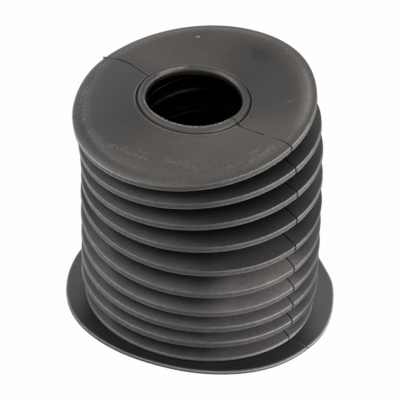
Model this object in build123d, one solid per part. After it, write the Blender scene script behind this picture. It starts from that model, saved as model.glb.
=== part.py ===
from build123d import *
import os
from math import cos, exp, radians, sin

# Rubber bellows boot, moulded in one piece: a wide base flange, ten deep folds and an end
# disc with a beaded collar round the bore. Millimetres and degrees. The origin is the centre
# of the flange's underside and +Z points up. The relaxed boot droops towards -Y and -X: each
# fold keeps its turned shape on its own tilted axis, and the narrow roots between them flex.

# ---- one fold, with heights above the lower edge of its rim ----
FOLD_COUNT = 10
RIM_RADIUS = 50.0
RIM_BAND = 2.5               # height of the flat edge round the fold
ROOT_RADIUS = 25.3           # outside wall between two folds
WEB_TOP = 4.8                # upper web at the root
WEB_DROP = 2.7               # lower web at the root, below the rim's lower edge
HOLLOW_RADIUS = 46.5         # the hollow inside a fold ends here, behind the rim
HOLLOW_HEIGHT = 1.25
MOUTH_RADIUS = 25.2          # mouth of the hollow, where its webs bend into the ridges
MOUTH_TOP = 3.15
MOUTH_DROP = 1.25
RIDGE_RADIUS = 23.0          # narrow ridge inside, between two hollows
RIDGE_TOP = 4.6
RIDGE_DROP = 2.6

# ---- the lower folds, squeezed by the weight above until their webs bulge ----
BULGED_FOLDS = 5             # this many, counted from the bottom
KNEE_RADIUS = 43.0           # the webs stand highest here and then fall to the rim
KNEE_TOP = 4.3
KNEE_BASE = 0.4              # lower web
INNER_KNEE_RADIUS = 42.0
INNER_KNEE_TOP = 2.85
INNER_KNEE_BASE = 1.9
BULGED_HOLLOW_HEIGHT = 1.6

# ---- lowest fold, pressed against the flange, with a thin edge ----
LOW_RIM_RADIUS = 49.0
LOW_RIM_BAND = 0.8
LOW_RIM_HEIGHT = 2.2
LOW_KNEE_TOP = 2.9
LOW_HOLLOW_RADIUS = 35.0     # its webs run together outside this radius
LOW_HOLLOW_HEIGHT = 1.8
LOW_WEB_RADIUS = 29.5        # its lower web starts here, outside the neck
LOW_WEB_DROP = 0.1
LOW_FLOOR_RADIUS = 27.0      # its hollow's floor starts here, outside the opening
LOW_FLOOR = 1.6              # web thickness under its hollow

# ---- base flange ----
FLANGE_RADIUS = 57.6
FLANGE_THICKNESS = 1.5
NECK_GAP = 0.5               # slit between the flange and the lowest fold at the neck

# ---- end disc and collar ----
SHOULDER_RADIUS = 45.5       # the disc rolls down to its rim outside this radius
SHOULDER_HEIGHT = 3.9        # above the end fold's lower edge
BORE_RADIUS = 19.7
COLLAR_BASE_RADIUS = 24.1
COLLAR_CREST_RADIUS = 21.9
COLLAR_HEIGHT = 1.6
COLLAR_STEP_RADIUS = 23.2    # foot of the bead, a low step outside its crest
COLLAR_STEP_HEIGHT = 0.6
COLLAR_RISE = 4.3            # foot of the collar above the end fold's lower edge
COLLAR_NOD = 5.0
COLLAR_LEAN = 1.0
END_WALL = 2.0
BORE_EASE = 0.5              # rounding at the mouth of the bore

# ---- posture of the relaxed boot ----
PITCH = 10.25                # fold to fold near the top
SQUEEZE = 0.08               # share of the pitch lost to the weight above, at the bottom
END_LIFT = 1.6               # extra opening under the end disc
STACK_FORWARD = 2.9          # the folds sit this far in front of the flange's centre
SIDE_SLIDE = 0.044           # sideways drift of the stack, per millimetre of height
LEAN = 10.1                  # tilt to the left at the end disc
LEAN_FROM_FOLD = 4.85        # the folds below this one don't lean
NOD_PER_FOLD = 0.59          # tilt to the front, gained by each fold
SAG = 5.45                   # extra tilt to the front about the middle of the stack
SAG_FOLD = 3.6
SAG_SPREAD = 2.25
END_NOD = 4.05               # extra tilt to the front of the end disc

END_FOLD = FOLD_COUNT - 1
TOOL_OVERRUN = 1.0


def pitch_above(fold):
    """Distance from one fold's lower edge to the next one's."""
    share_up = (fold + 0.5) / END_FOLD
    lift = END_LIFT if fold == END_FOLD - 1 else 0.0
    return PITCH * (1 - SQUEEZE * (1 - share_up) ** 2) + lift


def nod(fold):
    """Tilt of a fold towards the front."""
    extra = END_NOD if fold == END_FOLD else 0.0
    return NOD_PER_FOLD * fold + SAG * exp(-(((fold - SAG_FOLD) / SAG_SPREAD) ** 2)) + extra


def lean(fold):
    """Tilt of a fold towards the left."""
    share = max(0.0, (fold - LEAN_FROM_FOLD) / (END_FOLD - LEAN_FROM_FOLD))
    return LEAN * sin(radians(90 * share))


def tilted(origin, nod_angle, lean_angle):
    """A plane through origin, tilted to the front and to the left."""
    n, a = radians(nod_angle), radians(lean_angle)
    normal = Vector(-sin(a) * cos(n), -sin(n), cos(a) * cos(n))
    return Plane(origin=origin, x_dir=Vector(cos(a), 0, sin(a)), z_dir=normal)


def fold_centres():
    """Centre of each fold's lower edge, from the bottom up."""
    x, z = -SIDE_SLIDE * LOW_RIM_HEIGHT, LOW_RIM_HEIGHT
    centres = [Vector(x, -STACK_FORWARD, z)]
    for fold in range(END_FOLD):
        rise = pitch_above(fold)
        x -= rise * (SIDE_SLIDE + sin(radians((lean(fold) + lean(fold + 1)) / 2)))
        z += rise
        centres.append(Vector(x, -STACK_FORWARD, z))
    return centres


CENTRES = fold_centres()


def fold_plane(fold):
    """Plane of a fold's lower edge."""
    return tilted(CENTRES[fold], nod(fold), lean(fold))


def collar_plane():
    """Plane of the end disc's top face at the foot of the collar."""
    return tilted(fold_plane(END_FOLD).offset(COLLAR_RISE).origin, COLLAR_NOD, COLLAR_LEAN)


def ring(radius, plane, height=0.0):
    """One circular section, height above the plane."""
    return Wire.make_circle(radius, plane.offset(height))


def straight_fold(fold):
    """Outer sections of a fold with straight webs, up to its rim."""
    plane = fold_plane(fold)
    return [
        ring(ROOT_RADIUS, plane, -WEB_DROP),
        ring(RIM_RADIUS, plane),
        ring(RIM_RADIUS, plane, RIM_BAND),
    ]


def bulged_fold(fold):
    """Outer sections of a fold with bulged webs, up to the knee above its rim."""
    plane = fold_plane(fold)
    return [
        ring(ROOT_RADIUS, plane, -WEB_DROP),
        ring(KNEE_RADIUS, plane, KNEE_BASE),
        ring(RIM_RADIUS, plane),
        ring(RIM_RADIUS, plane, RIM_BAND),
        ring(KNEE_RADIUS, plane, KNEE_TOP),
    ]


def lowest_fold():
    """Outer sections of the lowest fold, flat below and bulged above its thin rim."""
    plane = fold_plane(0)
    return [
        ring(LOW_WEB_RADIUS, plane, -LOW_WEB_DROP),
        ring(LOW_RIM_RADIUS, plane),
        ring(LOW_RIM_RADIUS, plane, LOW_RIM_BAND),
        ring(KNEE_RADIUS, plane, LOW_KNEE_TOP),
    ]


def outer_sections():
    """Sections of the outside, from the flange's underside up to the collar's crest."""
    sections = [
        ring(ROOT_RADIUS, Plane.XY),
        ring(ROOT_RADIUS, Plane.XY, FLANGE_THICKNESS + NECK_GAP),
    ]
    sections += lowest_fold()
    for fold in range(1, FOLD_COUNT):
        sections.append(ring(ROOT_RADIUS, fold_plane(fold - 1), WEB_TOP))
        sections += bulged_fold(fold) if fold < BULGED_FOLDS else straight_fold(fold)
    sections.append(ring(SHOULDER_RADIUS, fold_plane(END_FOLD), SHOULDER_HEIGHT))
    collar = collar_plane()
    sections.append(ring(COLLAR_BASE_RADIUS, collar))
    sections.append(ring(COLLAR_STEP_RADIUS, collar, COLLAR_STEP_HEIGHT))
    sections.append(ring(COLLAR_CREST_RADIUS, collar, COLLAR_HEIGHT))
    return sections


def ridge_between(lower, upper):
    """Sections of the inside ridge between the hollows of two neighbouring folds."""
    return [
        ring(MOUTH_RADIUS, lower, MOUTH_TOP),
        ring(RIDGE_RADIUS, lower, RIDGE_TOP),
        ring(RIDGE_RADIUS, upper, -RIDGE_DROP),
        ring(MOUTH_RADIUS, upper, -MOUTH_DROP),
    ]


def hollow(fold):
    """Sections of the closed end of a fold's hollow."""
    plane = fold_plane(fold)
    if fold >= BULGED_FOLDS:
        return [ring(HOLLOW_RADIUS, plane, HOLLOW_HEIGHT)]
    return [
        ring(INNER_KNEE_RADIUS, plane, INNER_KNEE_BASE),
        ring(HOLLOW_RADIUS, plane, BULGED_HOLLOW_HEIGHT),
        ring(INNER_KNEE_RADIUS, plane, INNER_KNEE_TOP),
    ]


def inner_sections():
    """Sections of the cavity, from below the flange up to the underside of the end disc."""
    low = fold_plane(0)
    sections = [
        ring(RIDGE_RADIUS, Plane.XY, -TOOL_OVERRUN),
        ring(RIDGE_RADIUS, Plane.XY, FLANGE_THICKNESS + NECK_GAP + LOW_FLOOR),
        ring(LOW_FLOOR_RADIUS, low, LOW_FLOOR),
        ring(LOW_HOLLOW_RADIUS, low, LOW_HOLLOW_HEIGHT),
    ]
    for fold in range(1, FOLD_COUNT):
        sections += ridge_between(fold_plane(fold - 1), fold_plane(fold)) + hollow(fold)
    sections.append(ring(COLLAR_BASE_RADIUS, collar_plane(), -END_WALL))
    return sections


def bore_sections():
    """Sections of the bore through the end disc, eased at its mouth."""
    collar = collar_plane()
    return [
        ring(BORE_RADIUS, collar, -END_WALL - TOOL_OVERRUN),
        ring(BORE_RADIUS, collar, COLLAR_HEIGHT - BORE_EASE),
        ring(BORE_RADIUS + BORE_EASE, collar, COLLAR_HEIGHT),
        ring(BORE_RADIUS + BORE_EASE, collar, COLLAR_HEIGHT + TOOL_OVERRUN),
    ]


def bellows_boot():
    """The whole moulding: the folds on their flange, less the cavity and the bore."""
    flange = Pos(0, 0, FLANGE_THICKNESS / 2) * Cylinder(FLANGE_RADIUS, FLANGE_THICKNESS)
    folds = Solid.make_loft(outer_sections(), ruled=True)
    cavity = Solid.make_loft(inner_sections(), ruled=True)
    bore = Solid.make_loft(bore_sections(), ruled=True)
    return flange + folds - cavity - bore


os.makedirs("parts", exist_ok=True)
boot = bellows_boot()
boot.label = "bellows_boot"
export_step(boot, "parts/bellows_boot.step")
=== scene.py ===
import logging
from dataclasses import dataclass, field, fields, replace
from enum import Enum
from math import atan2, cos, hypot, pi, radians, sin, tan

import bpy
import numpy as np
from mathutils import Matrix, Vector


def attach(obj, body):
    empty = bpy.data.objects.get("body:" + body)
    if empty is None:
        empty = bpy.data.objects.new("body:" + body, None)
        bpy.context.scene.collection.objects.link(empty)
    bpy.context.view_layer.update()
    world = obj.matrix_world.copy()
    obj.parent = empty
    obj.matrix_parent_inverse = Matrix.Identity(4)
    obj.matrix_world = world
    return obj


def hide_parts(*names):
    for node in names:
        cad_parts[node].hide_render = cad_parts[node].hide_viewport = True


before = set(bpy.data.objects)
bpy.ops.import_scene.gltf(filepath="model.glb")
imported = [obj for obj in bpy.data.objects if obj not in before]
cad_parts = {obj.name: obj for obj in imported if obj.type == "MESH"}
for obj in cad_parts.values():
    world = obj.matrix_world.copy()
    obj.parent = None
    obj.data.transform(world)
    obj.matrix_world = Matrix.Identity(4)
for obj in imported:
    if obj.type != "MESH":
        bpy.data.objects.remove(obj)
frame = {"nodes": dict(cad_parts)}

LOG = logging.getLogger("bellows_boot")
MM = 0.001
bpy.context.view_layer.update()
NODE = "bellows_boot"
PIECE = "boot_moulding"
FOLD_COUNT = 10
RIM_RADIUS = 50.0 * MM
COLLAR_RISE = 4.3 * MM
STRAIGHT = 0.001             # a corner that turns less than twice this, in radians, isn't rounded
BULGE_TO_ONE = 27 / 4        # way * way * (1 - way) peaks at the inverse of this
WHITE = (1.0, 1.0, 1.0, 1.0)


# ---------------------------------------------------------------------------------------
# Arithmetic on node sockets
# ---------------------------------------------------------------------------------------


class TreeMaker:
    """Adds nodes to one geometry or shader tree."""

    def __init__(self, tree: bpy.types.NodeTree) -> None:
        """Keep the tree that the nodes go into."""
        self.tree = tree

    def put(self, socket: bpy.types.NodeSocket, value: object) -> None:
        """Link a field or socket to an input, or set the input's own value.

        Args:
            socket: The input to fill.
            value: A Field, another node's output, or a plain value.
        """
        if isinstance(value, Field):
            value = value.socket
        if isinstance(value, bpy.types.NodeSocket):
            self.tree.links.new(value, socket)
        else:
            socket.default_value = value

    def node(self, kind: str, inputs: dict | None = None, **settings: object) -> bpy.types.Node:
        """Add one node.

        Args:
            kind: The node's type name.
            inputs: Values or sockets by the input's name or number.
            settings: The node's own properties.

        Returns:
            The new node.
        """
        made = self.tree.nodes.new(kind)
        for name, value in settings.items():
            setattr(made, name, value)
        for key, value in (inputs or {}).items():
            self.put(made.inputs[key], value)
        return made

    def math(self, operation: str, *values: object) -> "Field":
        """Add a Math node.

        Args:
            operation: Its operation.
            values: Its one, two or three inputs.

        Returns:
            The result.
        """
        made = self.node("ShaderNodeMath", dict(enumerate(values)), operation=operation)
        return Field(self, made.outputs[0])

    def vector(self, operation: str, *values: object) -> "Arrow":
        """Add a Vector Math node that gives a vector.

        Args:
            operation: Its operation.
            values: Its two vectors, or for SCALE a vector and a number.

        Returns:
            The result.
        """
        sockets = (0, "Scale") if operation == "SCALE" else (0, 1)
        made = self.node("ShaderNodeVectorMath", dict(zip(sockets, values)), operation=operation)
        return Arrow(self, made.outputs[0])

    def join(self, x: object, y: object, z: object) -> "Arrow":
        """Make a vector of three numbers."""
        return Arrow(self, self.node("ShaderNodeCombineXYZ", {0: x, 1: y, 2: z}).outputs[0])


class Field:
    """A number inside a node tree, on which plain arithmetic adds Math nodes."""

    def __init__(self, maker: TreeMaker, socket: bpy.types.NodeSocket) -> None:
        """Keep the output socket that carries the number."""
        self.maker = maker
        self.socket = socket

    def __add__(self, other: object) -> "Field":
        """Sum."""
        return self.maker.math("ADD", self, other)

    def __sub__(self, other: object) -> "Field":
        """Difference."""
        return self.maker.math("SUBTRACT", self, other)

    def __rsub__(self, other: object) -> "Field":
        """Difference from a plain number."""
        return self.maker.math("SUBTRACT", other, self)

    def __mul__(self, other: object) -> "Field":
        """Product."""
        return self.maker.math("MULTIPLY", self, other)

    def __truediv__(self, other: object) -> "Field":
        """Quotient."""
        return self.maker.math("DIVIDE", self, other)

    def __neg__(self) -> "Field":
        """Opposite."""
        return self.maker.math("MULTIPLY", self, -1.0)

    __radd__ = __add__
    __rmul__ = __mul__

    def equals(self, other: object, tolerance: float = 0.25) -> "Field":
        """One where both are the same whole number, otherwise nought."""
        return self.maker.math("COMPARE", self, other, tolerance)

    def apply(self, operation: str, *values: object) -> "Field":
        """Any other Math operation with this number first."""
        return self.maker.math(operation, self, *values)

    def clamped(self) -> "Field":
        """This number, held between nought and one."""
        return self.apply("MAXIMUM", 0.0).apply("MINIMUM", 1.0)

    def ramp(self, start: float, end: float) -> "Field":
        """Smooth rise from nought to one.

        Args:
            start: Where it starts.
            end: Where it ends, which may be below the start.

        Returns:
            The rise.
        """
        limits = {"Value": self, "From Min": start, "From Max": end}
        made = self.maker.node("ShaderNodeMapRange", limits, interpolation_type="SMOOTHSTEP")
        return Field(self.maker, made.outputs["Result"])

    def bell(self, width: float) -> "Field":
        """One where this number is nought, falling away to both sides within the width."""
        share = self * (1.0 / width)
        return (-(share * share)).apply("EXPONENT")

    def toward(self, other: object, share: object) -> "Field":
        """Part of the way from this number to another."""
        return self + (other - self) * share


class Arrow(Field):
    """A vector inside a node tree."""

    def __add__(self, other: object) -> "Arrow":
        """Sum."""
        return self.maker.vector("ADD", self, other)

    def __sub__(self, other: object) -> "Arrow":
        """Difference."""
        return self.maker.vector("SUBTRACT", self, other)

    def __mul__(self, other: object) -> "Arrow":
        """This vector made longer or shorter."""
        return self.maker.vector("SCALE", self, other)

    def cross(self, other: "Arrow") -> "Arrow":
        """Vector at right angles to both."""
        return self.maker.vector("CROSS_PRODUCT", self, other)

    def parts(self) -> tuple[Field, Field, Field]:
        """Its three numbers."""
        made = self.maker.node("ShaderNodeSeparateXYZ", {0: self})
        return tuple(Field(self.maker, socket) for socket in made.outputs)


# ---------------------------------------------------------------------------------------
# The section of the moulding
# ---------------------------------------------------------------------------------------


class Side(Enum):
    """The two faces of the rubber wall."""

    OUTSIDE = 0.0
    INSIDE = 1.0


@dataclass(frozen=True)
class Station:
    """One ring of the surface, placed on a frame or part of the way to the next one.

    Frame 0 is the flange, 1 to 10 are the folds from the bottom up, and 11 is the collar.
    """

    frame: int
    radius: float
    height: float
    side: Side
    next_radius: float = 0.0
    next_height: float = 0.0
    share: float = 0.0
    bulge: float = 0.0


@dataclass(frozen=True)
class Corner:
    """A corner of an outline in radius and height, and the arc that rounds it."""

    radius: float
    height: float
    rounding: float = 0.0
    steps: int = 3


@dataclass(frozen=True)
class Fineness:
    """How straight runs are divided.

    A guard point near each end keeps the shading crisp, unless the run is too short for it.
    """

    run: float
    guard: float = 0.0
    guards_in_run: float = 4.0

    def shares(self, length: float) -> list[float]:
        """Divide a run.

        Args:
            length: The run's length.

        Returns:
            The divisions, as shares of the length, with its end but not its start.
        """
        steps = max(1, round(length / self.run))
        even = [number / steps for number in range(1, steps)]
        if self.guard and length > self.guards_in_run * self.guard:
            edge = self.guard / length
            even = [edge, *even, 1 - edge]
        return [*even, 1.0]


def rounded(corners: list[Corner], fineness: Fineness) -> list[tuple[float, float]]:
    """Round an outline's corners with arcs and divide its long runs.

    Args:
        corners: The outline's corners in order.
        fineness: How the straight runs are divided.

    Returns:
        Points of radius and height.
    """
    points = [(corners[0].radius, corners[0].height)]
    for before, corner, after in zip(corners, corners[1:], corners[2:]):
        here = Vector((corner.radius, corner.height))
        back = (Vector((before.radius, before.height)) - here).normalized()
        ahead = (Vector((after.radius, after.height)) - here).normalized()
        half = back.angle(ahead) / 2
        if corner.rounding <= 0 or half > pi / 2 - STRAIGHT:
            points.append(tuple(here))
            continue
        centre = here + (back + ahead).normalized() * (corner.rounding / sin(half))
        start = here + back * (corner.rounding / tan(half)) - centre
        end = here + ahead * (corner.rounding / tan(half)) - centre
        first = atan2(start.y, start.x)
        turn = (atan2(end.y, end.x) - first + pi) % (2 * pi) - pi
        for step in range(corner.steps + 1):
            angle = first + turn * step / corner.steps
            points.append(tuple(centre + Vector((cos(angle), sin(angle))) * corner.rounding))
    points.append((corners[-1].radius, corners[-1].height))
    divided = [points[0]]
    for (x0, y0), (x1, y1) in zip(points, points[1:]):
        shares = fineness.shares(hypot(x1 - x0, y1 - y0))
        divided += [(x0 + (x1 - x0) * share, y0 + (y1 - y0) * share) for share in shares]
    return divided


@dataclass(frozen=True)
class FoldSection:
    """The wall of one fold, inside and out. Heights are above the rim's lower edge."""

    rim_radius: float = RIM_RADIUS
    rim_band: float = 2.5 * MM
    rim_edge: float = 0.3 * MM
    shoulder: Corner | None = None
    root_radius: float = 25.3 * MM
    root_rounding: float = 0.9 * MM
    web_top: float = 4.8 * MM
    web_drop: float = 2.7 * MM
    root_gap: float = 2.75 * MM
    hollow_radius: float = 46.5 * MM
    hollow_height: float = 1.25 * MM
    hollow_rounding: float = 0.15 * MM
    ridge_radius: float = 23.0 * MM
    ridge_rounding: float = 1.5 * MM
    ridge_top: float = 4.6 * MM
    ridge_drop: float = 2.6 * MM
    ridge_gap: float = 3.05 * MM
    mouth_radius: float = 25.2 * MM
    mouth_top: float = 3.15 * MM
    mouth_drop: float = 1.25 * MM
    mouth_rounding: float = 2.0 * MM
    outer_fineness: Fineness = Fineness(6.0 * MM, 0.5 * MM)
    inner_fineness: Fineness = Fineness(12.0 * MM)

    def low_root(self) -> list[Corner]:
        """Outside, from half-way up the root below to the lower web."""
        foot = Corner(self.root_radius, -self.web_drop, self.root_rounding, steps=2)
        return [replace(foot, height=foot.height - self.root_gap / 2, rounding=0.0), foot]

    def rim(self) -> list[Corner]:
        """Outside, round the rim and over its shoulder where it has one."""
        low = Corner(self.rim_radius, 0.0, self.rim_edge)
        return [low, replace(low, height=self.rim_band), *([self.shoulder] if self.shoulder else [])]

    def high_root(self) -> list[Corner]:
        """Outside, from the upper web to half-way up the root above."""
        head = Corner(self.root_radius, self.web_top, self.root_rounding, steps=2)
        return [head, replace(head, height=head.height + self.root_gap / 2, rounding=0.0)]

    def high_ridge(self) -> list[Corner]:
        """Inside, from the middle of the ridge above to the hollow's upper web.

        Returns:
            The corners.
        """
        return [
            Corner(self.ridge_radius, self.ridge_top + self.ridge_gap / 2),
            Corner(self.ridge_radius, self.ridge_top, self.ridge_rounding),
            Corner(self.mouth_radius, self.mouth_top, self.mouth_rounding, steps=2),
        ]

    def hollow_end(self) -> list[Corner]:
        """Inside, the closed end of the hollow behind the rim."""
        return [Corner(self.hollow_radius, self.hollow_height, self.hollow_rounding, steps=1)]

    def low_ridge(self) -> list[Corner]:
        """Inside, from the hollow's lower web to the middle of the ridge below.

        Returns:
            The corners.
        """
        return [
            Corner(self.mouth_radius, -self.mouth_drop, self.mouth_rounding, steps=2),
            Corner(self.ridge_radius, -self.ridge_drop, self.ridge_rounding),
            Corner(self.ridge_radius, -self.ridge_drop - self.ridge_gap / 2),
        ]

    def place(self, frame_number: int, radius: float, height: float, side: Side) -> Station:
        """Put a point of the outline on its frame, or between two frames in a root or ridge.

        Args:
            frame_number: The fold's frame.
            radius: The point's radius.
            height: Its height above the fold's lower edge.
            side: The face of the wall that it is on.

        Returns:
            The station.
        """
        low, high, gap = -self.web_drop, self.web_top, self.root_gap
        if side is Side.INSIDE:
            low, high, gap = -self.ridge_drop, self.ridge_top, self.ridge_gap
        if height > high:
            return Station(frame_number, radius, high, side, radius, low, (height - high) / gap)
        if height < low:
            return Station(frame_number - 1, radius, high, side, radius, low, 1 + (height - low) / gap)
        way = min(1.0, max(0.0, (radius - self.root_radius) / (self.rim_radius - self.root_radius)))
        return Station(frame_number, radius, height, side, bulge=BULGE_TO_ONE * way * way * (1 - way))

    def stations(self, frame_number: int, corners: list[Corner], side: Side) -> list[Station]:
        """Round an outline and place each of its points."""
        points = rounded(corners, self.outer_fineness if side is Side.OUTSIDE else self.inner_fineness)
        return [self.place(frame_number, radius, height, side) for radius, height in points]

    def outside(self, frame_number: int) -> list[Station]:
        """Outside of a whole fold, from half-way up the root below to half-way up the one above."""
        return self.stations(frame_number, self.low_root() + self.rim() + self.high_root(), Side.OUTSIDE)

    def inside(self, frame_number: int) -> list[Station]:
        """Inside of a whole fold, from the middle of the ridge above to the middle of the one below."""
        corners = self.high_ridge() + self.hollow_end() + self.low_ridge()
        return self.stations(frame_number, corners, Side.INSIDE)


@dataclass(frozen=True)
class BaseSection:
    """The flange, the opening through it and the lowest fold, which is pressed against the flange."""

    flange_radius: float = 57.6 * MM
    flange_thickness: float = 1.5 * MM
    flange_edge: float = 0.45 * MM
    neck_height: float = 2.0 * MM
    opening_rounding: float = 0.4 * MM
    web_radius: float = 29.5 * MM
    web_drop: float = 0.1 * MM
    rim_radius: float = 49.0 * MM
    rim_band: float = 0.8 * MM
    floor_radius: float = 27.0 * MM
    floor_height: float = 1.6 * MM
    hollow_radius: float = 35.0 * MM
    hollow_height: float = 1.8 * MM
    opening_height: float = 3.6 * MM

    def stations(self, fold: FoldSection) -> list[Station]:
        """The whole end, from the lowest ridge down through the opening and up to the lowest root.

        Args:
            fold: The section of the folds above.

        Returns:
            The stations in order.
        """
        hollow = fold.high_ridge() + [
            Corner(self.hollow_radius, self.hollow_height, fold.hollow_rounding / 2, steps=1),
            Corner(self.floor_radius, self.floor_height),
        ]
        flange = [
            Corner(fold.ridge_radius, self.opening_height),
            Corner(fold.ridge_radius, 0.0, self.opening_rounding),
            Corner(self.flange_radius, 0.0, self.flange_edge),
            Corner(self.flange_radius, self.flange_thickness, self.flange_edge),
            Corner(fold.root_radius, self.flange_thickness),
            Corner(fold.root_radius, self.neck_height),
        ]
        low_fold = FoldSection(rim_radius=self.rim_radius, rim_band=self.rim_band)
        rim = [Corner(self.web_radius, -self.web_drop)] + low_fold.rim() + low_fold.high_root()
        points = rounded(flange, fold.outer_fineness)
        still = [replace(at, bulge=0.0) for at in fold.stations(1, hollow, Side.INSIDE)]
        web = [
            replace(at, bulge=at.bulge if at.height > self.rim_band else 0.0)
            for at in fold.stations(1, rim, Side.OUTSIDE)
        ]
        return [*still, *(Station(0, radius, height, Side.OUTSIDE) for radius, height in points), *web]


@dataclass(frozen=True)
class CollarSection:
    """The end disc and the beaded collar round its bore."""

    bore_radius: float = 19.7 * MM
    shoulder: Corner = Corner(45.5 * MM, 3.9 * MM, 22.0 * MM)
    disc_inner_radius: float = 24.2 * MM
    collar_rise: float = COLLAR_RISE
    wall: float = 2.0 * MM
    under_radius: float = 24.1 * MM
    bore_foot_rounding: float = 0.4 * MM
    fineness: Fineness = Fineness(3.0 * MM)
    lead_in: float = 1.0 * MM
    lead_in_points: int = 2
    bead: tuple[Corner, ...] = (
        Corner(24.2 * MM, 0.0, 0.15 * MM),
        Corner(23.8 * MM, 0.35 * MM, 0.15 * MM),
        Corner(23.1 * MM, -0.7 * MM, 0.12 * MM),
        Corner(22.6 * MM, 0.95 * MM, 0.5 * MM, 4),
        Corner(21.6 * MM, 1.65 * MM, 0.7 * MM, 4),
        Corner(20.4 * MM, 1.35 * MM, 0.8 * MM, 4),
        Corner(19.7 * MM, 0.5 * MM, 0.6 * MM),
    )

    def bent(self, stations: list[Station], above: float, next_height: float) -> list[Station]:
        """Let one face of the disc turn from the rim's plane at its shoulder to the collar's.

        Args:
            stations: The stations of that face.
            above: The height above which they turn.
            next_height: Their height on the collar's frame.

        Returns:
            All the stations.
        """
        shoulder = self.shoulder.radius
        turned = []
        for at in stations:
            if at.share == 0 and at.height > above:
                way = (shoulder - at.radius) / (shoulder - self.disc_inner_radius)
                share = min(1.0, max(0.0, way))
                at = Station(at.frame, at.radius, at.height, at.side, at.radius, next_height, share)
            turned.append(at)
        return turned

    def stations(self, fold: FoldSection, frame_number: int) -> list[Station]:
        """The whole end, from the highest root over the disc and collar to the highest ridge.

        The collar's outline starts with a short lead-in over the disc, so that its first corner
        is rounded, and the points of the lead-in are left out.

        Args:
            fold: The section of the folds below.
            frame_number: The frame of the end disc's rim.

        Returns:
            The stations in order.
        """
        end_fold = FoldSection(shoulder=self.shoulder)
        rim = fold.low_root() + end_fold.rim() + [Corner(self.disc_inner_radius, self.collar_rise)]
        disc = self.bent(fold.stations(frame_number, rim, Side.OUTSIDE), fold.rim_band, 0.0)
        bore = [
            Corner(self.disc_inner_radius + self.lead_in, 0.0),
            *self.bead,
            Corner(self.bore_radius, -self.wall, self.bore_foot_rounding),
            Corner(self.under_radius, -self.wall),
        ]
        collar = [
            Station(frame_number + 1, radius, height, Side.OUTSIDE)
            for radius, height in rounded(bore, self.fineness)[self.lead_in_points:]
        ]
        ceiling = Corner(self.under_radius, self.collar_rise - self.wall)
        under = [ceiling, *fold.hollow_end(), *fold.low_ridge()]
        inner = self.bent(fold.stations(frame_number, under, Side.INSIDE), fold.hollow_height, -self.wall)
        return disc + collar + inner


# ---------------------------------------------------------------------------------------
# Posture and sweep
# ---------------------------------------------------------------------------------------


@dataclass(frozen=True)
class Posture:
    """How the relaxed boot droops. Lengths in metres, angles in degrees."""

    fold_count: int = FOLD_COUNT
    pitch: float = 10.25 * MM
    squeeze: float = 0.08
    end_lift: float = 1.6 * MM
    first_rim_height: float = 2.2 * MM
    stack_forward: float = 2.9 * MM
    side_slide: float = 0.044
    lean: float = 10.1
    lean_from_fold: float = 4.85
    nod_per_fold: float = 0.59
    sag: float = 5.45
    sag_fold: float = 3.6
    sag_spread: float = 2.25
    end_nod: float = 4.05
    bulge: float = 1.15 * MM
    bulged_folds: float = 5.0
    collar_rise: float = COLLAR_RISE
    collar_nod: float = 5.0
    collar_lean: float = 1.0


@dataclass(frozen=True)
class Sweep:
    """How the section is carried round, and the two mould lines at which its columns gather.

    Each line has an azimuth at the rims and bends on its way inwards. On the end disc, above
    line_height and from line_start to the line's end, the faces at its bottom have the near-black
    inside material, painted shade: those within line_share of the columns between the two lines.
    Lengths are in metres, angles in degrees.
    """

    columns: int = 188
    gathering: float = 0.93
    right_line: float = -37.2
    right_bend: float = -1.0
    left_line: float = 140.3
    left_bend: float = 11.0
    left_slant: float = -8.5
    web_bend: float = 7.0
    bend_reach: float = 24.0 * MM
    rim_radius: float = RIM_RADIUS
    line_share: float = 0.028
    line_start: float = 24.5 * MM
    right_line_end: float = 35.0 * MM
    left_line_end: float = 45.0 * MM
    line_height: float = 3.0 * MM
    inside_share: float = 0.75
    weld: float = 0.001 * MM


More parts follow.
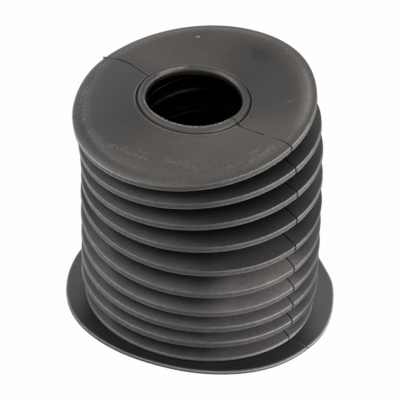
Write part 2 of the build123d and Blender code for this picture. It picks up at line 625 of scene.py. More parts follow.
class SweepTree:
    """Geometry Nodes that repeat the fold, sweep the section round and set the posture."""

    def __init__(
        self, posture: Posture, sweep: Sweep, outside: bpy.types.Material, inside: bpy.types.Material
    ) -> None:
        """Build the tree with one named input for each size.

        Args:
            posture: The sizes of the droop.
            sweep: The sizes of the sweep.
            outside: The finish of the outside and the bore's wall.
            inside: The near-black material of the hollow and of the bottoms of the mould lines, which is
                painted shade.
        """
        self.tree = bpy.data.node_groups.new("boot_sweep", "GeometryNodeTree")
        self.make = TreeMaker(self.tree)
        self.sizes: dict[str, float] = {}
        self.identifiers: dict[str, str] = {}
        self.add_socket("Section", "INPUT", "NodeSocketGeometry")
        for group in (posture, sweep):
            for size in fields(group):
                kind = "NodeSocketInt" if isinstance(getattr(group, size.name), int) else "NodeSocketFloat"
                name = size.name.replace("_", " ").capitalize()
                self.identifiers[name] = self.add_socket(name, "INPUT", kind)
                self.sizes[name] = getattr(group, size.name)
        self.add_socket("Moulding", "OUTPUT", "NodeSocketGeometry")
        self.inputs = self.make.node("NodeGroupInput")
        shape = self.placed(self.swept(self.repeated()))
        weld = {"Geometry": shape, "Distance": self.size("Weld")}
        shape = self.make.node("GeometryNodeMergeByDistance", weld).outputs[0]
        shape = self.make.node("GeometryNodeFlipFaces", {"Mesh": shape}).outputs[0]
        shape = self.make.node("GeometryNodeSetShadeSmooth", {0: shape}).outputs[0]
        shape = self.make.node("GeometryNodeRealizeInstances", {0: shape}).outputs[0]
        rubber = {"Geometry": shape, "Material": outside}
        shape = self.make.node("GeometryNodeSetMaterial", rubber).outputs[0]
        # The hollow and the bottoms of the disc's mould lines get the near-black inside material: painted
        # shade.
        hollow = self.named("inside").apply("GREATER_THAN", self.size("Inside share"))
        dark = {"Geometry": shape, "Selection": hollow.apply("MAXIMUM", self.dark_line()), "Material": inside}
        shape = self.make.node("GeometryNodeSetMaterial", dark).outputs[0]
        self.make.node("NodeGroupOutput", {0: shape})

    def add_socket(self, name: str, way: str, kind: str) -> str:
        """Add an input or output to the tree and give its identifier."""
        return self.tree.interface.new_socket(name=name, in_out=way, socket_type=kind).identifier

    def size(self, name: str) -> Field:
        """A named input of the tree."""
        return Field(self.make, self.inputs.outputs[name])

    def named(self, name: str, kind: str = "FLOAT") -> Field:
        """Read a stored attribute."""
        made = self.make.node("GeometryNodeInputNamedAttribute", {"Name": name}, data_type=kind)
        return (Arrow if kind == "FLOAT_VECTOR" else Field)(self.make, made.outputs["Attribute"])

    def store(self, geometry: object, name: str, value: object, kind: str = "FLOAT") -> bpy.types.NodeSocket:
        """Store an attribute on the points of a geometry.

        Args:
            geometry: The geometry.
            name: The attribute's name.
            value: What each point gets.
            kind: The attribute's type.

        Returns:
            The geometry with the attribute.
        """
        made = self.make.node("GeometryNodeStoreNamedAttribute", data_type=kind, domain="POINT")
        self.make.put(made.inputs["Geometry"], geometry)
        made.inputs["Name"].default_value = name
        self.make.put(made.inputs["Value"], value)
        return made.outputs["Geometry"]

    def repeated(self) -> bpy.types.NodeSocket:
        """Copy one middle fold up the stack and add the two ends, which have a fold each.

        Returns:
            The whole section.
        """
        section = {"Mesh": self.inputs.outputs["Section"]}
        curves = self.make.node("GeometryNodeMeshToCurve", section).outputs[0]
        middle = {"Geometry": curves, "Selection": self.named("repeats")}
        split = self.make.node("GeometryNodeSeparateGeometry", middle, domain="CURVE")
        fold = {"Geometry": split.outputs[0]}
        copies = self.make.node("GeometryNodeDuplicateElements", fold, domain="SPLINE")
        self.make.put(copies.inputs["Amount"], self.size("Fold count") - 2.0)
        number = self.named("frame") + Field(self.make, copies.outputs["Duplicate Index"])
        folds = self.store(copies.outputs["Geometry"], "frame", number)
        joined = self.make.node("GeometryNodeJoinGeometry")
        self.make.put(joined.inputs[0], split.outputs[1])
        self.make.put(joined.inputs[0], folds)
        return joined.outputs[0]

    def swept(self, section: bpy.types.NodeSocket) -> bpy.types.NodeSocket:
        """Carry the section round a ring whose points know how far round they are.

        Args:
            section: The whole section.

        Returns:
            The swept shape.
        """
        circle = self.make.node("GeometryNodeCurvePrimitiveCircle", mode="RADIUS")
        self.make.put(circle.inputs["Resolution"], self.size("Columns"))
        number = Field(self.make, self.make.node("GeometryNodeInputIndex").outputs[0])
        ring = self.store(circle.outputs[0], "turn", number / self.size("Columns"))
        made = self.make.node("GeometryNodeCurveToMesh", {"Curve": ring, "Profile Curve": section})
        return made.outputs[0]

    def azimuth(self) -> Field:
        """Gather the columns at the two mould lines, and let them follow the lines' bends.

        The first half of the ring runs from the right line to the left one.

        Returns:
            Angle of each point round its frame, in radians.
        """
        right, left = self.size("Right line"), self.size("Left line")
        half = self.named("turn") * 2.0
        second = half.apply("FLOOR")
        way = half - second
        span = (left - right) * (1.0 - second) + (right + 360.0 - left) * second
        eased = way - (way * 2 * pi).apply("SINE") * self.size("Gathering") / (2 * pi)
        angle = right + (left - right) * second + span * eased
        below_rim = (self.size("Rim radius") - self.named("ring_radius")).apply("MAXIMUM", 0.0)
        inward = below_rim / self.size("Bend reach")
        on_web = self.named("frame").apply("LESS_THAN", self.size("Fold count") - 0.5)
        right_turn = self.size("Right bend") * inward * inward + self.size("Web bend") * inward * on_web
        left_turn = self.size("Left bend") * inward * inward + self.size("Left slant") * inward
        angle = self.drawn(angle, right, right_turn)
        return self.drawn(angle, left, left_turn * (1.0 - on_web)).apply("RADIANS")

    def drawn(self, angle: Field, line: Field, turn: Field) -> Field:
        """Turn the points on one side of the boot with the mould line there."""
        near = (angle - line).apply("RADIANS").apply("COSINE").apply("MAXIMUM", 0.0)
        return angle + turn * near * near * near * near

    def dark_line(self) -> Field:
        """Find the faces at the bottom of the end disc's mould lines, between two radii.

        A point's turn is nought at the right line and a half at the left one.

        Returns:
            One on those faces and nought elsewhere.
        """
        turn, radius = self.named("turn"), self.named("ring_radius")
        half = turn * 2.0
        off_middle = (half - half.apply("FLOOR") - 0.5).apply("ABSOLUTE")
        at_line = off_middle.apply("GREATER_THAN", 0.5 - self.size("Line share"))
        on_left = (turn - 0.5).apply("ABSOLUTE").apply("LESS_THAN", 0.25)
        end = self.size("Right line end").toward(self.size("Left line end"), on_left)
        within = radius.apply("GREATER_THAN", self.size("Line start")) * radius.apply("LESS_THAN", end)
        on_end = self.named("frame").apply("GREATER_THAN", self.size("Fold count") - 0.5)
        on_top = self.named("ring_height").apply("GREATER_THAN", self.size("Line height"))
        return at_line * within * on_end * on_top

    def law(self, fold: Field) -> tuple[Field, Field]:
        """How far a fold is tilted.

        Args:
            fold: The fold's number, from nought at the lowest.

        Returns:
            Its nod to the front and its lean to the left, in radians.
        """
        end = self.size("Fold count") - 1.0
        spread = (fold - self.size("Sag fold")) / self.size("Sag spread")
        nod = self.size("Nod per fold") * fold + self.size("Sag") * (-(spread * spread)).apply("EXPONENT")
        nod = nod + self.size("End nod") * fold.equals(end)
        share = (fold - self.size("Lean from fold")) / (end - self.size("Lean from fold"))
        lean = self.size("Lean") * (share.apply("MAXIMUM", 0.0) * (pi / 2)).apply("SINE")
        return nod.apply("RADIANS"), lean.apply("RADIANS")

    def axes(self, nod: Field, lean: Field) -> tuple[Arrow, Arrow]:
        """Directions of a tilted frame.

        Args:
            nod: Its tilt to the front, in radians.
            lean: Its tilt to the left, in radians.

        Returns:
            Its axis and its right-hand direction.
        """
        axis = self.make.join(
            -(lean.apply("SINE") * nod.apply("COSINE")),
            -nod.apply("SINE"),
            lean.apply("COSINE") * nod.apply("COSINE"),
        )
        return axis, self.make.join(lean.apply("COSINE"), 0.0, lean.apply("SINE"))

    def frames(self) -> bpy.types.NodeSocket:
        """Set out the frames of the flange, each fold and the collar.

        Returns:
            A point at the centre of each, with its axes stored on it.
        """
        number = Field(self.make, self.make.node("GeometryNodeInputIndex").outputs[0])
        count = self.size("Fold count")
        end = count - 1.0
        fold = (number - 1.0).apply("MAXIMUM", 0.0).apply("MINIMUM", end)
        above_base = 1.0 - number.equals(0.0)
        is_collar = number.equals(count + 1.0)
        nod, lean = self.law(fold)
        next_lean = self.law(fold + 1.0)[1]
        share_up = (fold + 0.5) / end
        squeezed = 1.0 - self.size("Squeeze") * (1.0 - share_up) * (1.0 - share_up)
        rise = self.size("Pitch") * squeezed + self.size("End lift") * fold.equals(end - 1.0)
        rise = rise * above_base * fold.apply("LESS_THAN", end - 0.5)
        slide = rise * (self.size("Side slide") + ((lean + next_lean) * 0.5).apply("SINE"))
        first = self.size("First rim height")
        height = first + self.running_total(rise)
        shift = first * self.size("Side slide") + self.running_total(slide)
        law_axis = self.axes(nod, lean)[0]
        centre = self.make.join(-shift, -self.size("Stack forward"), height) * above_base
        centre = centre + law_axis * (is_collar * self.size("Collar rise"))
        on_fold = 1.0 - is_collar
        nod = above_base * (nod * on_fold + self.size("Collar nod").apply("RADIANS") * is_collar)
        lean = above_base * (lean * on_fold + self.size("Collar lean").apply("RADIANS") * is_collar)
        axis, right = self.axes(nod, lean)
        line = self.make.node("GeometryNodePoints")
        self.make.put(line.inputs["Count"], count + 2.0)
        moved = {"Geometry": line.outputs[0], "Position": centre}
        points = self.make.node("GeometryNodeSetPosition", moved).outputs[0]
        points = self.store(points, "axis", axis, "FLOAT_VECTOR")
        return self.store(points, "right", right, "FLOAT_VECTOR")

    def running_total(self, value: Field) -> Field:
        """Add up a number over the points before each one.

        Args:
            value: The number.

        Returns:
            The sum.
        """
        inputs = {"Value": value}
        made = self.make.node("GeometryNodeAccumulateField", inputs, data_type="FLOAT", domain="POINT")
        return Field(self.make, made.outputs["Trailing"])

    def sample(self, points: bpy.types.NodeSocket, value: object, number: Field) -> Arrow:
        """Read a vector at one point of a geometry.

        Args:
            points: The geometry.
            value: The vector on each of its points.
            number: The point's number.

        Returns:
            The vector.
        """
        made = self.make.node("GeometryNodeSampleIndex", data_type="FLOAT_VECTOR", domain="POINT")
        self.make.put(made.inputs["Geometry"], points)
        self.make.put(made.inputs["Value"], value)
        self.make.put(made.inputs["Index"], number)
        return Arrow(self.make, made.outputs["Value"])

    def ring_point(
        self, points: bpy.types.NodeSocket, number: Field, radius: Field, height: Field, angle: Field
    ) -> Arrow:
        """A point of a ring on one frame.

        Args:
            points: The frames.
            number: Which frame.
            radius: The ring's radius.
            height: Its height above the frame.
            angle: The point's azimuth in radians.

        Returns:
            The point.
        """
        axis = self.sample(points, self.named("axis", "FLOAT_VECTOR"), number)
        right = self.sample(points, self.named("right", "FLOAT_VECTOR"), number)
        centre = self.sample(points, self.make.node("GeometryNodeInputPosition").outputs[0], number)
        outward = right * angle.apply("COSINE") + axis.cross(right) * angle.apply("SINE")
        return centre + outward * radius + axis * height

    def placed(self, shape: bpy.types.NodeSocket) -> bpy.types.NodeSocket:
        """Put every point of the swept shape on its frame, or between its frame and the next.

        Args:
            shape: The swept shape.

        Returns:
            The shape in its posture, with the place of each point in the mould stored on it.
        """
        points = self.frames()
        number, share, angle = self.named("frame"), self.named("share"), self.azimuth()
        radius, height = self.named("ring_radius"), self.named("ring_height")
        next_radius, next_height = self.named("next_radius"), self.named("next_height")
        squeezed = (self.size("Bulged folds") + 1.0 - number).clamped()
        bulged = height + self.named("bulge") * squeezed * self.size("Bulge")
        near = self.ring_point(points, number, radius, bulged, angle)
        far = self.ring_point(points, number + 1.0, next_radius, next_height, angle)
        place = near * (1.0 - share) + far * share
        east, north = angle.apply("COSINE") * radius, angle.apply("SINE") * radius
        height = height + (self.size("Pitch") + next_height - height) * share
        rise = number * self.size("Pitch") + height
        shape = self.store(shape, "mould_place", self.make.join(east, north, rise), "FLOAT_VECTOR")
        shape = self.store(shape, "ring_place", self.make.join(radius, height, number), "FLOAT_VECTOR")
        return self.make.node("GeometryNodeSetPosition", {"Geometry": shape, "Position": place}).outputs[0]


# ---------------------------------------------------------------------------------------
# Rubber. Its sizes are in millimetres, its azimuths in degrees.
# ---------------------------------------------------------------------------------------


# Tone of light lines along edges, which are painted highlight, on some edges partly rubbed.
EDGE_TONE = 0.42
FRAME_PER_MM = 0.1           # what a millimetre of height counts for beside the frame's number


@dataclass(frozen=True)
class Sector:
    """A side of the boot on which an effect has a strength.

    The effect starts and is full where the cosine of the angle from the azimuth passes two values.
    Where radii are given, the effect is also nought at the first one and full at the second.
    """

    azimuth: float
    start: float
    full: float
    strength: float = 1.0
    radii: tuple[float, float] | None = None


@dataclass(frozen=True)
class Ring:
    """A ring of the section, and the width of what lies along it."""

    radius: float
    height: float
    width: float


class Surface:
    """Where a point of the moulding is, read from the places stored on the mesh."""

    def __init__(self, make: TreeMaker) -> None:
        """Read the stored places.

        Args:
            make: The shader tree's maker.
        """
        self.make = make
        self.mould = self.stored("mould_place")
        radius, height, self.frame = self.stored("ring_place").parts()
        self.radius, self.height = radius * (1 / MM), height * (1 / MM)
        self.east, self.north, _ = self.mould.parts()
        self.right, self.back = self.east / radius, self.north / radius

    def stored(self, name: str) -> Arrow:
        """Read a vector stored on the mesh."""
        return Arrow(self.make, self.make.node("ShaderNodeAttribute", attribute_name=name).outputs["Vector"])

    def noise(self, size: float, detail: float = 4.0, roughness: float = 0.6) -> Field:
        """Soft noise about one half.

        Args:
            size: Width of its patches.
            detail: Its finer layers.
            roughness: How strong they are.

        Returns:
            The noise.
        """
        settings = {"Vector": self.mould, "Scale": 1 / (size * MM), "Detail": detail, "Roughness": roughness}
        return Field(self.make, self.make.node("ShaderNodeTexNoise", settings).outputs["Fac"])

    def facing(self, azimuth: float) -> Field:
        """One on that side of the boot and minus one on the opposite side."""
        return self.right * cos(radians(azimuth)) + self.back * sin(radians(azimuth))

    def on(self, *sectors: Sector) -> Field | float:
        """Add up the sectors' effects.

        Args:
            sectors: The sectors.

        Returns:
            The sum, nought outside all of them.
        """
        total = 0.0
        for sector in sectors:
            share = self.facing(sector.azimuth).ramp(sector.start, sector.full) * sector.strength
            if sector.radii:
                share = share * self.radius.ramp(*sector.radii)
            total = share + total
        return total

    def near(self, ring: Ring) -> Field:
        """One on a ring of the section and nought away from it."""
        across, up = self.radius - ring.radius, self.height - ring.height
        return (across * across + up * up).apply("SQRT").bell(ring.width)

    def up_to(self, frame_number: int, softness: float = 0.1) -> Field:
        """One on the frames up to that one and nought on those above it."""
        return self.frame.ramp(frame_number + 0.5 + softness, frame_number + 0.5 - softness)

    def above(self, heights: tuple[float, float]) -> Field:
        """One on the collar and, from between two heights upwards, on the end disc."""
        level = self.frame + self.height * FRAME_PER_MM
        return level.ramp(*(FOLD_COUNT + height * FRAME_PER_MM for height in heights))

    def past_line(self, line: float, bend: float, slants: tuple[float, float], sweep: Sweep) -> Field:
        """Distance round the boot from a mould line.

        Args:
            line: The line's azimuth at the rims.
            bend: How far it bends on its way inwards.
            slants: How much further it turns on the end disc, and how much on the other folds.
            sweep: The sweep that follows the line.

        Returns:
            The distance, positive anticlockwise.
        """
        inward = (sweep.rim_radius / MM - self.radius).apply("MAXIMUM", 0.0) / (sweep.bend_reach / MM)
        azimuth = self.north.apply("ARCTAN2", self.east).apply("DEGREES")
        disc_slant, web_slant = slants
        slant = disc_slant + self.up_to(FOLD_COUNT - 1) * (web_slant - disc_slant)
        return (azimuth - line - inward * inward * bend - inward * slant) * self.radius * (pi / 180)


@dataclass(frozen=True)
class Noises:
    """The layers of soft noise that break up the tones, from the widest to the finest."""

    patch: Field
    fine: Field
    speck: Field
    grain: Field


@dataclass(frozen=True)
class Mark:
    """A soft-edged mark on the end disc: its place, half-sizes, tone and strength."""

    radius: float
    azimuth: float
    across: float
    along: float
    tone: float
    strength: float
    broken: tuple[float, float] = (0.3, 0.6)

    def lay(self, at: Surface, tone: Field, noises: Noises) -> Field:
        """Lay the mark over a tone, broken up by fine noise.

        Args:
            at: The surface.
            tone: The tone under the mark.
            noises: The layers of noise.

        Returns:
            The new tone.
        """
        out = self.radius - at.facing(self.azimuth) * at.radius
        side = at.facing(self.azimuth + 90.0) * at.radius
        share = out.bell(self.across) * side.bell(self.along) * noises.fine.ramp(*self.broken)
        return tone.toward(self.tone, (share * self.strength).apply("MINIMUM", 1.0))


@dataclass(frozen=True)
class RingMark:
    """A tone laid along a ring, evenly all round and more or less in some sectors.

    Where fine_from is given, fine noise is added to it and makes the tone uneven. Where specks
    are given, the tone starts and is full between those values of the speck noise.
    """

    ring: Ring
    tone: float
    even: float
    sectors: tuple[Sector, ...] = ()
    fine_from: float | None = None
    specks: tuple[float, float] | None = None

    def lay(self, at: Surface, tone: Field, noises: Noises) -> Field:
        """Lay the ring over a tone.

        Args:
            at: The surface.
            tone: The tone under the ring.
            noises: The layers of noise.

        Returns:
            The new tone.
        """
        share = at.near(self.ring) * (self.even + at.on(*self.sectors))
        if self.fine_from is not None:
            share = share * (self.fine_from + noises.fine)
        if self.specks is not None:
            share = share * noises.speck.ramp(*self.specks)
        return tone.toward(self.tone, share)


@dataclass(frozen=True)
class RubbedAndLitEdge:
    """A rim edge, partly rubbed and partly painted highlight, more so in some sectors and on the end fold."""

    ring: Ring
    even: float
    sectors: tuple[Sector, ...]
    end_even: float
    end_sector: Sector

    def wear(self, at: Surface, on_end: Field) -> Field:
        """How strong the rubbing and painted highlight are, given a number that is one on the end fold."""
        extra = on_end * (self.end_even + at.on(self.end_sector))
        return at.near(self.ring) * (self.even + at.on(*self.sectors) + extra)


@dataclass(frozen=True)
class FoldTones:
    """Tones of the folds, with painted light and shade: webs that darken inwards as painted shade,
    and rims with light edges that are partly rubbed and partly painted highlight.

    On the low folds the painted light reaches further in at low_sides and dim_sides are painted
    darker; the lit folds get painted light at lit_side, the webs at bright_side, and rim_sides
    paint the rims lighter or darker by side.
    """

    web: float = 0.058
    # Painted shade: deep is the webs' tone deep in the fold, where they darken.
    deep: float = 0.008
    rim: float = 0.024
    # Tone of the rims' light edges, partly rubbed and partly painted highlight.
    edge: float = EDGE_TONE
    web_start: float = 40.0
    web_reach: float = 9.0
    low_folds: int = 6
    low_shift: float = 4.0
    low_shortening: float = 2.0
    low_sides: tuple[Sector, ...] = (Sector(-45.0, 0.72, 0.97, 0.9), Sector(180.0, 0.7, 0.9))
    dim_sides: tuple[Sector, ...] = (Sector(0.0, 0.8, 0.95, 0.8), Sector(180.0, 0.8, 1.0, 0.4))
    lit_folds: int = 5
    lit_side: Sector = Sector(-55.0, 0.82, 0.97)
    lit_least: float = 0.5
    lit_frames: tuple[float, float] = (2.6, 4.6)
    bright_side: Sector = Sector(-125.0, 0.7, 1.0)
    # Painted light and shade on the rims by side.
    rim_sides: tuple[Sector, ...] = (
        Sector(180.0, 0.0, 0.75, 0.05),
        Sector(-45.0, 0.72, 0.97, 0.025),
        Sector(0.0, 0.88, 0.98, -0.03),
    )
    rim_radii: tuple[float, float] = (49.6, 49.8)
    rim_least: float = 0.55
    rim_gain: float = 0.9
    rim_specks: tuple[float, float] = (0.3, 0.7)
    low_edge: RubbedAndLitEdge = RubbedAndLitEdge(
        ring=Ring(50.0, 0.0, 0.3),
        even=0.45,
        sectors=(Sector(180.0, 0.0, 0.75, 0.6), Sector(-45.0, 0.72, 0.97, 0.25)),
        end_even=0.18,
        end_sector=Sector(-150.0, 0.5, 0.9, 0.6),
    )
    high_edge: RubbedAndLitEdge = RubbedAndLitEdge(
        ring=Ring(50.0, 2.5, 0.3),
        even=0.15,
        sectors=(Sector(180.0, 0.0, 0.75, 0.45), Sector(-45.0, 0.72, 0.97, 0.2)),
        end_even=0.0,
        end_sector=Sector(-160.0, 0.7, 1.0, 0.7),
    )
    rubbed_and_lit_least: float = 0.35
    rubbed_and_lit_gain: float = 1.2

    def tone(self, at: Surface, noises: Noises) -> Field:
        """Work out the tone.

        Args:
            at: The surface.
            noises: The layers of noise.

        Returns:
            The tone.
        """
        # Painted shade darkens the webs inwards, with painted light and shade by side on the low folds.
        low_folds = at.up_to(self.low_folds)
        low = low_folds * at.on(*self.low_sides).apply("MINIMUM", 1.0)
        past_start = at.radius - self.web_start + low * self.low_shift
        share = (past_start / (self.web_reach - low * self.low_shortening)).clamped()
        ends = 1.0 - at.on(*self.dim_sides) * low_folds
        rise = self.lit_least + at.frame.ramp(*self.lit_frames)
        lit = 1.0 + at.on(self.lit_side) * at.up_to(self.lit_folds) * rise
        bright = 1.0 + share * at.on(self.bright_side)
        web = self.deep + share * ends * lit * (self.web - self.deep) * bright
        # Painted light and shade on the rims by side.
        rim = (self.rim + at.on(*self.rim_sides)) * ends
        rim = rim * (self.rim_least + self.rim_gain * noises.speck.ramp(*self.rim_specks))
        tone = web.toward(rim, at.radius.ramp(*self.rim_radii))
        # Light edge lines on the rims, partly rubbed and partly painted highlight.
        on_end = 1.0 - at.up_to(FOLD_COUNT - 1)
        rubbed_and_lit = self.low_edge.wear(at, on_end) + self.high_edge.wear(at, on_end)
        rubbed_and_lit = rubbed_and_lit * (self.rubbed_and_lit_least + self.rubbed_and_lit_gain * noises.fine) * ends
        return tone.toward(self.edge, rubbed_and_lit.apply("MINIMUM", 1.0))


@dataclass(frozen=True)
class DiscTones:
    """Tones of the end disc, with its ring of scuffs, and of the collar's bead and bore,
    with painted light and shade by side and painted highlights and shade along rings.

    The ring of scuffs runs near the rim and dips inwards at one azimuth.
    """

    disc: float = 0.062
    # Painted light and shade by side: darker at the left and inwards on the right, lighter at the front
    # right, at the right end and along the back rim.
    sides: tuple[Sector, ...] = (
        Sector(180.0, 0.4, 1.0, -0.75),
        Sector(20.0, 0.4, 1.0, -0.6, (45.0, 40.0)),
        Sector(-60.0, 0.5, 1.0, 0.35),
        Sector(0.0, 0.85, 1.0, 2.0, (42.5, 47.0)),
        Sector(95.0, 0.55, 1.0, 0.9, (43.0, 48.5)),
    )
    scuff: float = 0.18
    scuff_radius: float = 46.5
    scuff_dip: float = 9.0
    scuff_azimuth: float = -113.0
    scuff_narrowness: float = 5.4
    scuff_width: float = 1.2
    scuff_specks: tuple[float, float] = (0.5, 0.62)
    scuff_patches: tuple[float, float] = (0.35, 0.5)
    scuff_strength: float = 0.8
    # Painted shade over the bead, strongest at the left.
    bead: float = 0.024
    bead_radii: tuple[float, float] = (23.5, 23.2)
    bead_even: float = 0.35
    bead_side: Sector = Sector(168.0, 0.75, 0.95, 0.65)
    rings: tuple[RingMark, ...] = (
        # Lighter line along the disc's upper edge, partly rubbed and partly painted highlight.
        RingMark(Ring(49.9, 2.5, 0.35), 0.5, 0.2, (Sector(-160.0, 0.7, 1.0, 0.8),), fine_from=0.3),
        # Dark line inside the disc's edge at the front: painted shade.
        RingMark(Ring(49.3, 3.0, 0.3), 0.0, 0.0, (Sector(-90.0, 0.4, 0.9, 0.5),)),
        # Painted highlight on the bead's inner edge at the back.
        RingMark(
            Ring(20.5, 1.4, 0.45),
            EDGE_TONE,
            0.0,
            (Sector(120.0, 0.92, 0.99, 0.6), Sector(50.0, 0.92, 0.99, 0.3)),
        ),
        # Dark line at the back of the bead: painted shade.
        RingMark(Ring(22.8, 0.6, 0.25), 0.0, 0.0, (Sector(75.0, 0.3, 0.7, 0.9),)),
        # Light line at the bead's outer foot: painted highlight, weaker at the left.
        RingMark(Ring(23.8, 0.35, 0.35), EDGE_TONE, 0.4, (Sector(180.0, 0.5, 0.9, -0.34),), fine_from=0.4),
        # Darker crease round the bead: painted shade, weaker at the left.
        RingMark(Ring(23.1, -0.4, 0.5), 0.0, 1.0, (Sector(180.0, 0.7, 1.0, -0.7),)),
        # Dark line just outside the bead: painted shade.
        RingMark(Ring(24.5, 0.0, 0.3), 0.0, 0.6),
        RingMark(Ring(20.6, 1.4, 0.35), 0.4, 0.0, (Sector(-105.0, 0.2, 0.8),), specks=(0.42, 0.56)),
    )
    # Painted shade: the bore's wall darkens to this tone downwards.
    bore: float = 0.0
    bore_radii: tuple[float, float] = (20.0, 19.75)
    bore_heights: tuple[float, float] = (0.4, -1.6)

    def tone(self, at: Surface, noises: Noises) -> Field:
        """Work out the tone.

        Args:
            at: The surface.
            noises: The layers of noise.

        Returns:
            The tone.
        """
        # Painted light and shade by side.
        tone = self.disc * (1.0 + at.on(*self.sides))
        dip = ((at.facing(self.scuff_azimuth) - 1.0) * self.scuff_narrowness).apply("EXPONENT")
        scuffed = (at.radius - (self.scuff_radius - self.scuff_dip * dip)).bell(self.scuff_width)
        scuffed = scuffed * noises.speck.ramp(*self.scuff_specks) * noises.patch.ramp(*self.scuff_patches)
        tone = tone.toward(self.scuff, scuffed * self.scuff_strength)
        # Painted shade over the bead.
        shade = at.radius.ramp(*self.bead_radii) * (self.bead_even + at.on(self.bead_side))
        tone = tone.toward(self.bead, shade)
        for ring in self.rings:
            tone = ring.lay(at, tone, noises)
        # Painted shade down the bore's wall.
        return tone.toward(self.bore, at.radius.ramp(*self.bore_radii) * at.height.ramp(*self.bore_heights))


@dataclass(frozen=True)
class FlangeTones:
    """Tones of the flange: painted shade, darkest at the front and painted lighter at the sides,
    with a lighter edge that is partly rubbed and partly painted highlight.
    """

    # Painted shade at the front, painted light at the sides.
    front: float = 0.012
    sides: tuple[Sector, ...] = (Sector(0.0, 0.8, 1.0, 0.085), Sector(180.0, 0.82, 1.0, 0.045))
    # Lighter edge, partly rubbed and partly painted highlight.
    edge: RingMark = RingMark(Ring(57.4, 1.4, 0.5), EDGE_TONE, 0.5)

    def tone(self, at: Surface, noises: Noises) -> Field:
        """Work out the tone at each point of the surface."""
        return self.edge.lay(at, self.front + at.on(*self.sides), noises)


@dataclass(frozen=True)
class LineDirtAndShade:
    """Darker mould lines, partly grime and partly painted shade. The left one is darker on the end disc only.
    """

    width: float = 0.27
    collar_width: float = 0.459
    left_width: float = 0.351
    near_collar: tuple[float, float] = (37.0, 34.0)
    near_rim: tuple[float, float] = (40.0, 44.0)
    disc_least: float = 0.45
    disc_gain: float = 0.55
    fold_rim: tuple[float, float] = (48.5, 49.8)
    fold_least: float = 0.3
    fold_gain: float = 0.5
    outer_end: tuple[float, float] = (50.6, 50.2)
    left_start: tuple[float, float] = (24.0, 24.4)

    def share(self, at: Surface, sweep: Sweep, on_top: Field) -> Field:
        """Work out how much of the surface the grime and painted shade cover.

        Args:
            at: The surface.
            sweep: The sweep, for its mould lines.
            on_top: One on the end disc and the collar.

        Returns:
            The share, from nought to one.
        """
        right = at.past_line(sweep.right_line, sweep.right_bend, (0.0, sweep.web_bend), sweep)
        left = at.past_line(sweep.left_line, sweep.left_bend, (sweep.left_slant, sweep.left_slant), sweep)
        near_collar, near_rim = at.radius.ramp(*self.near_collar), at.radius.ramp(*self.near_rim)
        on_disc = self.disc_least + self.disc_gain * near_collar.apply("MAXIMUM", near_rim)
        on_fold = self.fold_least + self.fold_gain * at.radius.ramp(*self.fold_rim)
        strength = on_fold.toward(on_disc, on_top) * at.radius.ramp(*self.outer_end)
        dirt = right.bell(self.width).toward(right.bell(self.collar_width), near_collar * on_top)
        return dirt * strength + left.bell(self.left_width) * on_top * at.radius.ramp(*self.left_start)


